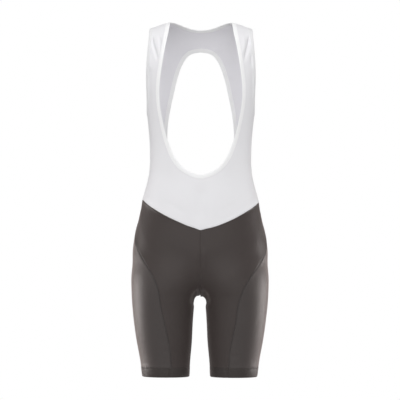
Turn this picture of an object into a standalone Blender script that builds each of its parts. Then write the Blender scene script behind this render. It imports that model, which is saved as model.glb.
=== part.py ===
"""Cycling bib shorts, filled out as worn and held up at the shoulders.

The garment is cut as a maker would cut it: a knitted front bib and back bib, elastic bindings
round the neck, the back opening and the armholes, and two shorts panels a leg that end in an
elastic leg band.  Every piece is a thin wall on one general figure, which is worked out from the
section tables below.  The front faces -Y, +Z is up, and the origin lies between the two strap
tops, where the wearer's shoulders carry the garment.

Tables and sizes are in millimetres and degrees; the meshes are written in metres.
"""

import bpy
import numpy as np

MM = 0.001

# Cloth and seams
WALL = 1.3
BAND_WALL = 1.9
BAND_PROUD = 0.3
SEAM_GAP = 0.36
BINDING_WIDTH = 9.0
LEG_BAND_TOP = -846.0
LEG_BOTTOM = -870.0

# Shoulders: the height over which the front and the back close to a ridge, and how it slopes
DOME_HEIGHT = 105.0
DOME_LENGTH = DOME_HEIGHT * np.pi / 2
RIDGE_Y = 6.0
NECK_POINT_X = 75.0
SLOPE_FROM_X = 84.0
SLOPE_SOFTNESS = 8.0
SHOULDER_SLOPE = 0.41
SLOPE_FADE = (-200.0, -55.0)

# Torso sections: each is a rounded oval about the centre line
TORSO_COLUMNS = ("height", "half_width", "front", "back", "power")
TORSO = (
    (0, 150.0, 96.0, 96.0, 2.5),
    (-30, 150.0, 96.0, 96.0, 2.5),
    (-80, 148.0, 100.0, 97.0, 2.5),
    (-130, 144.5, 106.0, 99.0, 2.5),
    (-180, 138.5, 110.0, 99.0, 2.45),
    (-222, 132.3, 108.0, 96.0, 2.4),
    (-260, 128.2, 102.0, 91.0, 2.35),
    (-300, 124.8, 95.0, 87.0, 2.3),
    (-340, 124.4, 91.0, 86.0, 2.3),
    (-372, 126.4, 90.0, 89.0, 2.3),
    (-400, 132.3, 92.0, 94.0, 2.3),
    (-436, 142.4, 96.0, 102.0, 2.3),
    (-480, 151.6, 98.0, 111.0, 2.3),
    (-510, 158.2, 98.0, 117.0, 2.3),
    (-541, 163.8, 97.0, 121.0, 2.3),
    (-575, 165.6, 94.0, 123.0, 2.3),
    (-600, 162.0, 88.0, 121.0, 2.3),
    (-625, 146.0, 76.0, 112.0, 2.3),
    (-645, 116.0, 58.0, 94.0, 2.2),
)
HIPS_FOOT = -640.0
HIPS_TAPER = 4.0

# Thigh sections about a middle point: x of the middle and of the inner and the outer side, and
# how far the front and the back lie from y = 0
THIGH_COLUMNS = ("height", "middle", "inner", "outer", "front", "back")
THIGH = (
    (-520, 76.0, 40.0, 112.0, 34.0, 60.0),
    (-540, 73.0, 10.0, 136.0, 56.0, 86.0),
    (-560, 70.0, -16.0, 152.0, 74.0, 105.0),
    (-580, 69.0, -28.0, 160.5, 86.0, 117.0),
    (-600, 69.5, -30.0, 164.6, 92.0, 121.5),
    (-620, 72.0, -25.0, 166.6, 93.8, 121.0),
    (-640, 76.0, -14.0, 167.0, 93.5, 117.0),
    (-660, 81.0, 1.0, 166.4, 91.5, 110.5),
    (-670, 83.3, 7.5, 166.1, 90.0, 106.5),
    (-675, 84.3, 11.2, 165.8, 89.4, 104.4),
    (-682, 85.6, 13.8, 165.4, 88.4, 101.6),
    (-694, 87.2, 15.8, 164.4, 86.9, 97.2),
    (-715, 88.9, 17.4, 162.6, 84.2, 90.8),
    (-740, 89.3, 18.9, 159.7, 81.0, 84.8),
    (-780, 87.8, 20.6, 154.4, 75.3, 77.0),
    (-820, 85.6, 23.0, 148.0, 69.8, 70.5),
    (-846, 84.3, 24.5, 144.0, 66.4, 67.0),
    (-870, 83.2, 25.7, 140.7, 63.5, 64.5),
)
THIGH_Y = 5.0
THIGH_POWER = 2.2
LEGS_FILLET = 30.0
HIP_FILLET = 14.0
SIDE_FILLET = 4.0
SIDE_FILLET_FROM = (70.0, 140.0)

# Neck opening at the front: the finished edge of the U
NECK_COLUMNS = ("height", "half_width")
NECK_FRONT = (
    (0, 75.0),
    (-24, 79.6),
    (-63, 87.8),
    (-101, 94.1),
    (-144, 99.8),
    (-181, 101.4),
    (-214, 98.6),
    (-250, 91.6),
    (-280, 84.4),
    (-304, 76.2),
    (-328, 66.0),
    (-344, 55.6),
    (-357, 43.0),
    (-366, 29.0),
    (-372.5, 14.0),
    (-374.7, 0.0),
)
NECK_BESIDE_UNDERARM = -250
NECK_BESIDE_WAIST = -328
NECK_BACK_DROP = 60.0
NECK_BACK_POWER = 2.2

# Opening in the back: the finished edge of the egg
OPENING_COLUMNS = ("height", "half_width")
BACK_OPENING = (
    (-69.9, 0.0),
    (-71.6, 14.0),
    (-77.0, 28.0),
    (-88.0, 38.5),
    (-108.0, 49.3),
    (-134.0, 58.2),
    (-165.0, 65.7),
    (-200.0, 73.3),
    (-240.0, 80.3),
    (-280.0, 83.0),
    (-312.0, 80.0),
    (-340.0, 70.5),
    (-363.0, 54.0),
    (-378.0, 32.0),
    (-384.0, 0.0),
)
OPENING_CENTRE = -230.0
MM_PER_DEGREE = 2.0

# Armhole: angles from the front, on the front and the back of the figure
ARMHOLE_COLUMNS = ("height", "front_angle", "back_angle")
ARMHOLE = (
    (0, 63.3, 116.7),
    (-27, 64.6, 118.2),
    (-79, 66.9, 119.4),
    (-134, 68.6, 117.6),
    (-176, 71.4, 113.4),
    (-203, 76.6, 106.5),
    (-218, 83.6, 97.6),
    (-223, 90.0, 90.0),
)

# Waist seam between the bib and the shorts: a shallow V at the front
WAIST_COLUMNS = ("half_width", "height")
WAIST_FRONT = (
    (0.0, -506.5),
    (13.2, -503.2),
    (29.2, -498.4),
    (55.0, -488.6),
    (76.5, -479.2),
    (95.0, -469.6),
    (112.0, -459.6),
    (126.0, -450.3),
    (137.0, -441.5),
    (142.4, -436.0),
)
WAIST_BACK_RISE = 8.0

# Thigh seam between the front and the back panel of a leg: the turn about the thigh's middle
# point, from straight ahead (0) by the outer side (90) to the back, on the wearer's right and
# left leg.  Both columns reach the waist at the same place.
THIGH_SEAM_COLUMNS = ("height", "right", "left")
THIGH_SEAM = (
    (-870, -11.5, -11.5),
    (-820, -11.5, -10.5),
    (-770, -6.5, -6.0),
    (-735, -1.5, -1.0),
    (-700, 4.5, 2.5),
    (-665, 11.0, 11.5),
    (-640, 18.5, 22.0),
    (-610, 31.0, 38.5),
    (-590, 42.0, 53.0),
    (-570, 53.5, 65.0),
    (-548, 65.5, 75.0),
    (-520, 82.0, 88.0),
    (-490, 101.0, 104.0),
    (-460, 122.0, 123.0),
    (-428, 145.0, 145.0),
)

# Stations along the seams, and rows of cloth between them
NECK_BACK_STEPS = 20
ARMHOLE_STEPS = 12
SIDE_STEPS = 6
WAIST_FRONT_STEPS = 10
WAIST_SIDE_STEPS = 4
WAIST_BACK_STEPS = 14
BIB_FRONT_ROWS = 7
BIB_BACK_ROWS = 5
HIP_ROWS = 12
LEG_ROWS = 11
HIP_ROW_EASE = 1.6
LEG_ROW_EASE = 1.8
STATIONS_FADE_ROWS = 7.2
EDGE_STEP = 0.03
PANEL_EDGE_STEP = 0.025
BIB_EDGE_STEP = 0.06
CROTCH_NOTCH = 0.0016

# How finely curves are sampled, and how closely crossings are found
WAIST_SAMPLES = 80
EGG_SAMPLES = 240
HALVINGS = 40
WAIST_PASSES = 8
NUDGE = 0.05
FAR_OUTSIDE = 300.0
CROTCH_BETWEEN = (-700.0, -640.0)
TURN_SLACK = 0.2
TINY = 1e-9

# The wearer's sides, by the sign of x
SIDES = (("right", -1), ("left", 1))

# Finishes: base colour and roughness
WHITE_KNIT = ((0.80, 0.80, 0.82), 0.75)
WHITE_ELASTIC = ((0.88, 0.88, 0.89), 0.60)
GREY_LYCRA = ((0.060, 0.054, 0.052), 0.50)
GREY_ELASTIC = ((0.052, 0.047, 0.045), 0.55)


def spline(knots, values):
    """A natural cubic spline through the values, as a function that holds its end values."""
    order = np.argsort(knots)
    x = np.asarray(knots, float)[order]
    y = np.asarray(values, float)[order]
    gap = np.diff(x)
    slope = np.diff(y) / gap
    system = np.eye(len(x))
    target = np.zeros(len(x))
    for i in range(1, len(x) - 1):
        system[i, i - 1 : i + 2] = gap[i - 1], 2 * (gap[i - 1] + gap[i]), gap[i]
        target[i] = 6 * (slope[i] - slope[i - 1])
    bend = np.linalg.solve(system, target)

    def read(at):
        at = np.clip(at, x[0], x[-1])
        i = np.clip(np.searchsorted(x, at) - 1, 0, len(x) - 2)
        h = gap[i]
        past, left = at - x[i], x[i + 1] - at
        curved = (bend[i] * left**3 + bend[i + 1] * past**3) / (6 * h)
        return curved + (y[i] / h - bend[i] * h / 6) * left + (y[i + 1] / h - bend[i + 1] * h / 6) * past

    return read


def columns_of(table, columns):
    """The columns of a table, by column name."""
    return dict(zip(columns, np.array(table, float).T))


def column_splines(table, columns):
    """A spline for each column after the first, read by the first column, by column name."""
    values = columns_of(table, columns)
    return {name: spline(values[columns[0]], values[name]) for name in columns[1:]}


def smooth_step(value, low, high):
    """0 below low and 1 above high, with a smooth rise between them."""
    share = np.clip((value - low) / (high - low), 0, 1)
    return share * share * (3 - 2 * share)


def with_edges(count, edge=EDGE_STEP):
    """count + 1 shares from 0 to 1, even but for a short step at each end."""
    return np.concatenate([[0], np.linspace(edge, 1 - edge, count - 1), [1]])


TORSO_AT = column_splines(TORSO, TORSO_COLUMNS)
THIGH_AT = column_splines(THIGH, THIGH_COLUMNS)
SEAM_AT = column_splines(THIGH_SEAM, THIGH_SEAM_COLUMNS)
WAIST_AT = column_splines(WAIST_FRONT, WAIST_COLUMNS)


# The figure above the waist: a path there is rows of (angle from the front, length from the
# shoulder ridge), the length negative downwards


def length_of(height):
    """The length down the figure from the shoulder ridge to a height."""
    height = np.asarray(height, float)
    lean = np.arccos(np.clip(1 + height / DOME_HEIGHT, 0, 1))
    return np.where(height > -DOME_HEIGHT, -lean * DOME_HEIGHT, height + DOME_HEIGHT - DOME_LENGTH)


def over_the_ridge(path):
    """The same points as the other face of the figure reads them."""
    return [180, 0] - path


def mirrored(path, middle=0):
    """The path on the other side of the figure, run the other way."""
    return ([2 * middle, 0] + path * [-1, 1])[::-1]


def torso(path):
    """The points of a path; a length above the ridge runs down the other face."""
    angle, length = np.moveaxis(np.asarray(path, float), -1, 0)
    angle, length = np.where(length > 0, 180 - angle, angle), -np.abs(length)
    side, ahead = np.sin(np.radians(angle)), np.cos(np.radians(angle))
    lean = np.minimum(-length / DOME_HEIGHT, np.pi / 2)
    on_dome = DOME_HEIGHT * (np.cos(lean) - 1)
    height = np.where(length > -DOME_LENGTH, on_dome, length + DOME_LENGTH - DOME_HEIGHT)
    depth = np.where(ahead > 0, TORSO_AT["front"](height), TORSO_AT["back"](height))
    power = TORSO_AT["power"](height)
    spread = np.abs(side / TORSO_AT["half_width"](height)) ** power + np.abs(ahead / depth) ** power
    reach = spread ** (-1 / power)
    x = reach * side
    y = RIDGE_Y * (1 - np.sin(lean)) - reach * ahead * np.sin(lean)
    fall = SLOPE_SOFTNESS * np.log1p(np.exp((np.abs(x) - SLOPE_FROM_X) / SLOPE_SOFTNESS))
    z = height - SHOULDER_SLOPE * fall * smooth_step(height, *SLOPE_FADE)
    return np.stack([x, y, z], axis=-1)


def angle_at(half_width, length, back=False):
    """The angle on the wearer's left where the figure is that far from the centre line."""
    low, high = np.zeros_like(length), np.full_like(length, 90.0)
    for _ in range(HALVINGS):
        middle = (low + high) / 2
        angle = 180 - middle if back else middle
        short = torso(np.stack([angle, length], axis=-1))[..., 0] < half_width
        low, high = np.where(short, middle, low), np.where(short, high, middle)
    return 180 - low if back else low


def stations(path, counts, corners=()):
    """Stations along a path, evenly spaced between its corners, which are rows of the path."""
    steps = np.linalg.norm(np.diff(torso(path), axis=0), axis=1)
    knots = np.concatenate([[0], np.cumsum(steps)])
    stops = knots[[0, *corners, -1]]
    pieces = [a + (b - a) * with_edges(count) for a, b, count in zip(stops, stops[1:], counts)]
    at = np.concatenate([pieces[0]] + [piece[1:] for piece in pieces[1:]])
    return np.stack([spline(knots, path[:, i])(at) for i in (0, 1)], axis=-1)


def directions(points, closed):
    """Unit steps along a row of points."""
    if closed:
        along = np.roll(points, -1, axis=0) - np.roll(points, 1, axis=0)
    else:
        along = np.gradient(points, axis=0)
    return along / np.linalg.norm(along, axis=1, keepdims=True)


def moved_right(loop, distance):
    """A closed loop moved over the figure, to the right of its run as seen from outside."""
    by_angle = (torso(loop + [NUDGE, 0]) - torso(loop - [NUDGE, 0])) / (2 * NUDGE)
    by_length = (torso(loop + [0, NUDGE]) - torso(loop - [0, NUDGE])) / (2 * NUDGE)
    across = np.cross(directions(torso(loop), closed=True), np.cross(by_angle, by_length))
    across *= distance / np.linalg.norm(across, axis=1, keepdims=True)
    moved = loop.copy()
    for i, wanted in enumerate(across):
        axes = np.stack([by_angle[i], by_length[i]], axis=-1)
        moved[i] += np.linalg.lstsq(axes, wanted, rcond=None)[0]
    return moved


def between(first, last, shares):
    """A grid of rows from the first path to the last."""
    return first + (last - first) * np.asarray(shares)[:, None, None]


# The figure below the waist: a place there is the share of the way round one half section,
# from the centre front to the centre back, and a height.  Below the crotch the section is the
# thigh, and both ends of the way round meet on its inner side.


def outside_oval(x, y, left, right, front, back, power):
    """How far a point lies outside an oval about the origin, along its own direction."""
    width, depth = np.where(x < 0, left, right), np.where(y < 0, front, back)
    spread = np.abs(x / width) ** power + np.abs(y / depth) ** power + TINY
    return np.hypot(x, y) * (1 - spread ** (-1 / power))


def joined(first, second, fillet):
    """The smaller of two distances, with a fillet where they are alike."""
    near = np.maximum(fillet - np.abs(first - second), 0) / fillet
    return np.minimum(first, second) - near * near * fillet / 4


def outside_thigh(x, y, z):
    """How far a point lies outside the wearer's left thigh, at its own height."""
    middle = THIGH_AT["middle"](z)
    inner, outer = middle - THIGH_AT["inner"](z), THIGH_AT["outer"](z) - middle
    front, back = THIGH_AT["front"](z) + THIGH_Y, THIGH_AT["back"](z) - THIGH_Y
    return outside_oval(x - middle, y - THIGH_Y, inner, outer, front, back, THIGH_POWER)


def outside_shorts(x, y, z):
    """How far a point lies outside the hips and thighs, at its own height."""
    half_width = TORSO_AT["half_width"](z)
    front, back, power = (TORSO_AT[name](z) for name in ("front", "back", "power"))
    hips = outside_oval(x, y, half_width, half_width, front, back, power)
    hips = hips + HIPS_TAPER * np.maximum(HIPS_FOOT - z, 0)
    legs = joined(outside_thigh(x, y, z), outside_thigh(-x, y, z), LEGS_FILLET)
    fillet = HIP_FILLET + (SIDE_FILLET - HIP_FILLET) * smooth_step(np.abs(x), *SIDE_FILLET_FROM)
    return joined(hips, legs, fillet)


def crossing(distance, inside, outside):
    """The place between inside and outside where the distance turns positive."""
    for _ in range(HALVINGS):
        middle = (inside + outside) / 2
        within = distance(middle) < 0
        inside, outside = np.where(within, middle, inside), np.where(within, outside, middle)
    return (inside + outside) / 2


def turn_limits(z):
    """The turns about the thigh's middle where the half section starts and ends."""
    middle = THIGH_AT["middle"](z)
    centre = np.zeros_like(middle)
    bridged = outside_shorts(centre, THIGH_Y, z) < 0
    front = crossing(lambda y: outside_shorts(centre, y, z), centre + THIGH_Y, centre - FAR_OUTSIDE)
    back = crossing(lambda y: outside_shorts(centre, y, z), centre + THIGH_Y, centre + FAR_OUTSIDE)
    start = np.where(bridged, np.arctan2(-middle, THIGH_Y - front), -np.pi / 2)
    end = np.where(bridged, np.arctan2(-middle, THIGH_Y - back) + 2 * np.pi, 1.5 * np.pi)
    return start, end


def shorts(share, z, side):
    """Points of the hips and thighs; side is 1 for the wearer's left and -1 for the right."""
    middle = THIGH_AT["middle"](z)
    start, end = turn_limits(z)
    turn = start + share * (end - start)
    across, ahead = np.sin(turn), np.cos(turn)
    furthest = np.minimum(FAR_OUTSIDE, middle / np.maximum(-across, TINY))

    def outside(reach):
        return outside_shorts(middle + reach * across, THIGH_Y - reach * ahead, z)

    reach = crossing(outside, np.zeros_like(middle), furthest)
    x = side * np.maximum(middle + reach * across, 0)
    return np.stack([x, THIGH_Y - reach * ahead, z], axis=-1)


def turn_of(points):
    """The turn about the thigh's middle at which each point lies."""
    x, y, z = np.moveaxis(points, -1, 0)
    turn = np.arctan2(np.abs(x) - THIGH_AT["middle"](z), THIGH_Y - y)
    return np.where(turn < turn_limits(z)[0] - TURN_SLACK, turn + 2 * np.pi, turn)


def share_of(turn, z):
    """The share of the way round one half section at a turn about the thigh's middle."""
    start, end = turn_limits(z)
    return (turn - start) / (end - start)


def crotch_height():
    """The height at which the legs part."""
    return crossing(lambda z: -outside_shorts(0.0, THIGH_Y, z), *CROTCH_BETWEEN)


# Seams and finished edges.  An edge runs with its opening on the left, as seen from outside.


def neck_edge():
    """The neck opening's edge: the front U from the right shoulder, then the back neckline."""
    edge = columns_of(NECK_FRONT, NECK_COLUMNS)
    length = length_of(edge["height"])
    left = np.stack([angle_at(edge["half_width"], length), length], axis=-1)[::-1]
    front = np.concatenate([mirrored(left), left[1:]])
    across = np.linspace(1, 0, NECK_BACK_STEPS // 2 + 1)
    length = -NECK_BACK_DROP * (1 - across**NECK_BACK_POWER)
    left = np.stack([angle_at(across * NECK_POINT_X, length, back=True), length], axis=-1)
    back = np.concatenate([left, mirrored(left, 180)[1:]])
    return front, back


def armhole_edge():
    """The wearer's left armhole, from the ridge down the front and up the back."""
    edge = columns_of(ARMHOLE, ARMHOLE_COLUMNS)
    length = length_of(edge["height"])
    down = np.stack([edge["front_angle"], length], axis=-1)
    up = np.stack([edge["back_angle"], length], axis=-1)[::-1]
    return np.concatenate([down, up[1:]])


def opening_edge():
    """The left half of the egg in the back, from its top to its bottom."""
    edge = columns_of(BACK_OPENING, OPENING_COLUMNS)
    length = length_of(edge["height"])
    return np.stack([angle_at(edge["half_width"], length, back=True), length], axis=-1)


def waist_path(start, end):
    """The waist seam from one angle to another, on the wearer's left."""
    angle = np.linspace(start, end, WAIST_SAMPLES)
    back = WAIST_FRONT[-1][1] + WAIST_BACK_RISE * smooth_step(angle, 90, 180)
    height = back
    for _ in range(WAIST_PASSES):
        x = torso(np.stack([angle, length_of(height)], axis=-1))[:, 0]
        height = np.where(angle < 90, WAIST_AT["height"](x), back)
    return np.stack([angle, length_of(height)], axis=-1)


def thigh_seam_angle():
    """The angle at which the thigh seam meets the waist seam."""
    path = waist_path(90, 180)
    points = torso(path)
    past = turn_of(points) - np.radians(SEAM_AT["left"](points[:, 2]))
    return np.interp(0, past, path[:, 0])


def around_opening(path):
    """How far round the opening in the back each row of a path lies, from its top."""
    return np.arctan2((180 - path[:, 0]) * MM_PER_DEGREE, path[:, 1] - length_of(OPENING_CENTRE))


def beside(path, edge):
    """The points of the opening's edge that lie beside the rows of a path."""
    place, places = around_opening(path), around_opening(edge)
    return np.stack([np.interp(place, places, edge[:, i]) for i in (0, 1)], axis=-1)


def with_its_mirror(path):
    """The left half of a loop round the back, completed on the right."""
    return np.concatenate([path, mirrored(path, 180)[1:-1]])


# Pieces


def inward(edge, beside, closed):
    """Unit steps from an edge, square to it, towards the row of points beside it."""
    along = directions(edge, closed)
    step = beside - edge
    step = step - along * np.sum(step * along, axis=1, keepdims=True)
    return step / np.linalg.norm(step, axis=1, keepdims=True)


def trimmed(grid, closed, rows=(0, -1)):
    """The grid with half a seam gap taken off the given rows, and off open ends."""
    moved = grid.copy()
    for row in rows:
        moved[row] += inward(grid[row], grid[1 if row == 0 else -2], closed) * SEAM_GAP / 2
    if not closed:
        moved[:, 0] += inward(grid[:, 0], grid[:, 1], closed) * SEAM_GAP / 2
        moved[:, -1] += inward(grid[:, -1], grid[:, -2], closed) * SEAM_GAP / 2
    return moved


def cloth(name, grid, look, wall=WALL, proud=0.0, closed=False):
    """A piece of cloth on a grid of points, its thickness inwards but for what stands proud."""
    rows, columns = grid.shape[:2]
    index = np.arange(rows * columns).reshape(rows, columns)
    if closed:
        index = np.concatenate([index, index[:, :1]], axis=1)
    corners = index[:-1, :-1], index[:-1, 1:], index[1:, 1:], index[1:, :-1]
    faces = np.stack([corner.ravel() for corner in corners], axis=-1)
    mesh = bpy.data.meshes.new(name)
    mesh.from_pydata(grid.reshape(-1, 3) * MM, [], faces.tolist())
    mesh.shade_smooth()
    piece = bpy.data.objects.new(name, mesh)
    bpy.data.collections["bib_shorts"].objects.link(piece)
    thickness = piece.modifiers.new("thickness", "SOLIDIFY")
    thickness.thickness = wall * MM
    thickness.offset = 2 * proud / wall - 1
    colour, roughness = look
    material = bpy.data.materials.new(name)
    material.use_nodes = True
    shader = material.node_tree.nodes["Principled BSDF"]
    shader.inputs["Base Color"].default_value = (*colour, 1)
    shader.inputs["Roughness"].default_value = roughness
    material.diffuse_color = (*colour, 1)
    mesh.materials.append(material)


def neck_corners():
    """The rows of the front neck edge that lie beside the corners of the bib, from the right."""
    heights = [row[0] for row in NECK_FRONT]
    right = [heights.index(NECK_BESIDE_UNDERARM), heights.index(NECK_BESIDE_WAIST)]
    bottom = len(heights) - 1
    return (*right, bottom, *(2 * bottom - row for row in right[::-1]))


def band(name, panel_edge, finished_edge, look):
    """A closed elastic band from a panel's edge to the finished edge, as points."""
    grid = trimmed(np.stack([panel_edge, finished_edge]), closed=True, rows=(0,))
    cloth(name, grid, look, BAND_WALL, BAND_PROUD, closed=True)


def make_bib(waist_front, waist_back):
    """The front and back bib, and the bindings of the neck, armholes and back opening."""
    neck_front, neck_back = neck_edge()
    counts = (ARMHOLE_STEPS, SIDE_STEPS, WAIST_FRONT_STEPS)
    neck_front = stations(neck_front, counts + counts[::-1], neck_corners())
    neck = np.concatenate([neck_front, neck_back[1:-1]])
    neck_cut = moved_right(neck, BINDING_WIDTH)
    band("neck_binding", torso(neck_cut), torso(neck), WHITE_ELASTIC)
    shoulder_row = len(neck_front) - 1
    front_neck_cut = neck_cut[: shoulder_row + 1]
    shoulder_cut = over_the_ridge(neck_cut[shoulder_row : shoulder_row + 1])
    left_half = neck_cut[shoulder_row + 1 : shoulder_row + 1 + NECK_BACK_STEPS // 2]
    back_neck_cut = np.concatenate([shoulder_cut, left_half])

    edge = armhole_edge()
    underarm = len(ARMHOLE) - 1
    armhole = stations(edge, (ARMHOLE_STEPS, ARMHOLE_STEPS), corners=(underarm,))[:-1]
    armhole_cut = moved_right(armhole, BINDING_WIDTH)
    band("armhole_binding_left", torso(armhole_cut), torso(armhole), WHITE_ELASTIC)
    band("armhole_binding_right", torso(mirrored(armhole_cut)), torso(mirrored(armhole)), WHITE_ELASTIC)
    front_armhole = armhole_cut[: ARMHOLE_STEPS + 1]
    ridge_cut = over_the_ridge(armhole_cut[:1])
    back_armhole = np.concatenate([ridge_cut, armhole_cut[: ARMHOLE_STEPS - 1 : -1]])

    side_shares = with_edges(SIDE_STEPS)[:, None]
    side = armhole_cut[ARMHOLE_STEPS] * (1 - side_shares) + waist_front[-1] * side_shares
    left = np.concatenate([waist_front, side[::-1][1:], front_armhole[::-1][1:]])
    outer = np.concatenate([mirrored(left), left[1:]])
    shares = with_edges(BIB_FRONT_ROWS, BIB_EDGE_STEP)
    front = torso(between(outer, front_neck_cut, shares))
    cloth("front_bib", trimmed(front, closed=False), WHITE_KNIT)

    shoulder = over_the_ridge(between(outer[-1:], front_neck_cut[-1:], shares)[::-1, 0])
    upper = np.concatenate([back_neck_cut[::-1], shoulder[1:], back_armhole[1:]])
    left = np.concatenate([upper, side[1:], waist_back[1:]])
    fine = stations(opening_edge(), (EGG_SAMPLES,))
    fine_cut = moved_right(with_its_mirror(fine), BINDING_WIDTH)[: len(fine)]
    outer = with_its_mirror(left)
    cut, finished = (with_its_mirror(beside(left, edge)) for edge in (fine_cut, fine))
    back = torso(between(outer, cut, with_edges(BIB_BACK_ROWS, BIB_EDGE_STEP)))
    cloth("back_bib", trimmed(back, closed=True), WHITE_KNIT, closed=True)
    band("back_opening_binding", torso(cut), torso(finished), WHITE_ELASTIC)


def leg_rows(waist):
    """Heights of a panel's grid points, a column below each waist point."""
    crotch = crotch_height()
    down = 1 - np.linspace(1, 0, HIP_ROWS + 1) ** HIP_ROW_EASE
    hip = waist + (crotch - waist) * down[:, None]
    leg = crotch + (LEG_BAND_TOP - crotch) * np.linspace(0, 1, LEG_ROWS + 1)[1:] ** LEG_ROW_EASE
    return np.concatenate([hip, np.repeat(leg[:, None], len(waist), axis=1)])


def panel_shares(top, rows, count):
    """Shares of the way across a panel: as the waist stations lie at the top, then even."""
    low = with_edges(count, PANEL_EDGE_STEP)
    fade = smooth_step(np.arange(rows), 0, STATIONS_FADE_ROWS)[:, None]
    return top + (low - top) * fade


def facing_out(grid, side):
    """The grid in the order that makes its faces point outwards on that side."""
    return grid[::-1] if side > 0 else grid


def make_leg(name, side, waist_front, waist_back):
    """The front and the back shorts panel of one leg, and its leg band."""
    front_points, back_points = torso(waist_front), torso(waist_back)
    rows = leg_rows(front_points[:, 2])
    top = share_of(turn_of(front_points), front_points[:, 2])
    seam = share_of(np.radians(SEAM_AT[name](rows[:, -1:])), rows[:, -1:])
    seam[0] = top[-1]
    shares = panel_shares(top / top[-1], len(rows), len(top) - 1) * seam
    shares[HIP_ROWS, 0] = CROTCH_NOTCH
    front = shorts(shares, rows, side)
    cloth(f"shorts_front_{name}", trimmed(facing_out(front, side), closed=False), GREY_LYCRA)

    rows = leg_rows(back_points[:, 2])
    top = share_of(turn_of(back_points), back_points[:, 2])
    past_seam = panel_shares((top - top[0]) / (1 - top[0]), len(rows), len(top) - 1)
    back_shares = seam + past_seam * (1 - seam)
    back_shares[HIP_ROWS, -1] = 1 - CROTCH_NOTCH
    back = shorts(back_shares, rows, side)
    cloth(f"shorts_back_{name}", trimmed(facing_out(back, side), closed=False), GREY_LYCRA)

    way_round = np.concatenate([shares[-1], back_shares[-1][1:-1]])[:: -side]
    heights = np.full(len(way_round), LEG_BAND_TOP), np.full(len(way_round), LEG_BOTTOM)
    top_edge, bottom_edge = (shorts(way_round, height, side) for height in heights)
    band(f"leg_hem_{name}", top_edge, bottom_edge, GREY_ELASTIC)


def main():
    for thing in list(bpy.data.objects):
        bpy.data.objects.remove(thing)
    collection = bpy.data.collections.new("bib_shorts")
    bpy.context.scene.collection.children.link(collection)
    meeting = thigh_seam_angle()
    waist_front = stations(waist_path(0, 90), (WAIST_FRONT_STEPS,))
    waist_side = stations(waist_path(90, meeting), (WAIST_SIDE_STEPS,))
    waist_back = stations(waist_path(meeting, 180), (WAIST_BACK_STEPS,))
    make_bib(waist_front, np.concatenate([waist_side, waist_back[1:]]))
    for name, side in SIDES:
        make_leg(name, side, np.concatenate([waist_front, waist_side[1:]]), waist_back)


main()
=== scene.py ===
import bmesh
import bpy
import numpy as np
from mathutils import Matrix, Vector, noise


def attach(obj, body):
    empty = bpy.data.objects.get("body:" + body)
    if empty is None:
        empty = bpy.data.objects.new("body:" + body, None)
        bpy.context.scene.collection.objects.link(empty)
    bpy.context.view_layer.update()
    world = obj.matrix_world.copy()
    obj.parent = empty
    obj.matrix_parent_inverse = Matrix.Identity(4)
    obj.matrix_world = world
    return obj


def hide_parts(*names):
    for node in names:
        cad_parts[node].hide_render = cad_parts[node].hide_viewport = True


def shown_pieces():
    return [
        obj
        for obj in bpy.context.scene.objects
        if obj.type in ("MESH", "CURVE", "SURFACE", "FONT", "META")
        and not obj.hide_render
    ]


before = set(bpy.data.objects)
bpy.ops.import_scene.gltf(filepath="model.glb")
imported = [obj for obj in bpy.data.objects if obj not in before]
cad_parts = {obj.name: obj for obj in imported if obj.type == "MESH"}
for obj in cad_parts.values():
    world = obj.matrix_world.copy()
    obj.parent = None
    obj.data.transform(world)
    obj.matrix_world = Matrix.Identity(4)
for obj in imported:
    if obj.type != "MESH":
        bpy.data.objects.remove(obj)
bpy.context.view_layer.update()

# The looks of a pair of cycling bib shorts: a white knit bib on dark stretch shorts, filled out as worn.
# Each panel is a fine thin shell on the outer face of its solid, whose coarse grid of points is read back
# from model.glb. Panels that meet at a seam share their normals there, and round the waist seam the cloth
# is slid down a little. Bindings and leg bands are rounded tubes of folded elastic on their solids. Seams,
# creases and stitches are geometry, and knit too fine to model is bump.

MM = 0.001

# Reading the solids' grids
WELD = 1e-6  # points this close are one
SHEET_TURN = 68  # degrees between faces that still belong to one side of a wall
CORNER_TURN = 30  # degrees at which a line through grid points has a corner
RING_PAD = 4  # knots by which a smooth ring's spline runs on past both its ends
LEG_AXIS = (0.08, 0.005)  # across and back to the middle of the wearer's left leg
FIRST_CORNERS = {  # a place near each grid's first point, in mm
    "front_bib": (-125, 6, -18),
    "back_bib": (84, 6, 0),
    "shorts_front_right": (0, -98, -506),
    "shorts_front_left": (125, 50, -428),
    "shorts_back_right": (-125, 50, -428),
    "shorts_back_left": (0, 100, -428),
    "neck_binding": (0, -91, -386),
    "back_opening_binding": (0, 88, -395),
    "armhole_binding_left": (128, 0, -234),
    "armhole_binding_right": (-128, 0, -234),
    "leg_hem_left": (83, -70, -846),
    "leg_hem_right": (-83, -70, -846),
}

# What each panel's borders are: the first and last row, then the first and last column. A border with
# corners has a name for each stretch between them.
EDGES = {
    "front_bib": (["armhole", "side", "waist", "side", "armhole"], ["neck"], ["shoulder"], ["shoulder"]),
    "back_bib": (
        ["shoulder", "armhole", "side", "waist", "side", "armhole", "shoulder", "neck"],
        ["opening"],
    ),
    "shorts_front_right": (["waist"], ["hem"], ["centre"], ["thigh"]),
    "shorts_front_left": (["waist"], ["hem"], ["thigh"], ["centre"]),
    "shorts_back_right": (["waist"], ["hem"], ["thigh"], ["centre"]),
    "shorts_back_left": (["waist"], ["hem"], ["centre"], ["thigh"]),
}
BOUND = ("armhole", "neck", "opening", "hem")
SEAM_DEPTHS = {"side": 0.8, "waist": 0.9, "shoulder": 0.8, "centre": 0.12, "thigh": 0.4}  # in mm
BIBS = ("front_bib", "back_bib")
BINDINGS = ("neck_binding", "back_opening_binding", "armhole_binding_left", "armhole_binding_right")
HEMS = ("leg_hem_left", "leg_hem_right")

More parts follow.
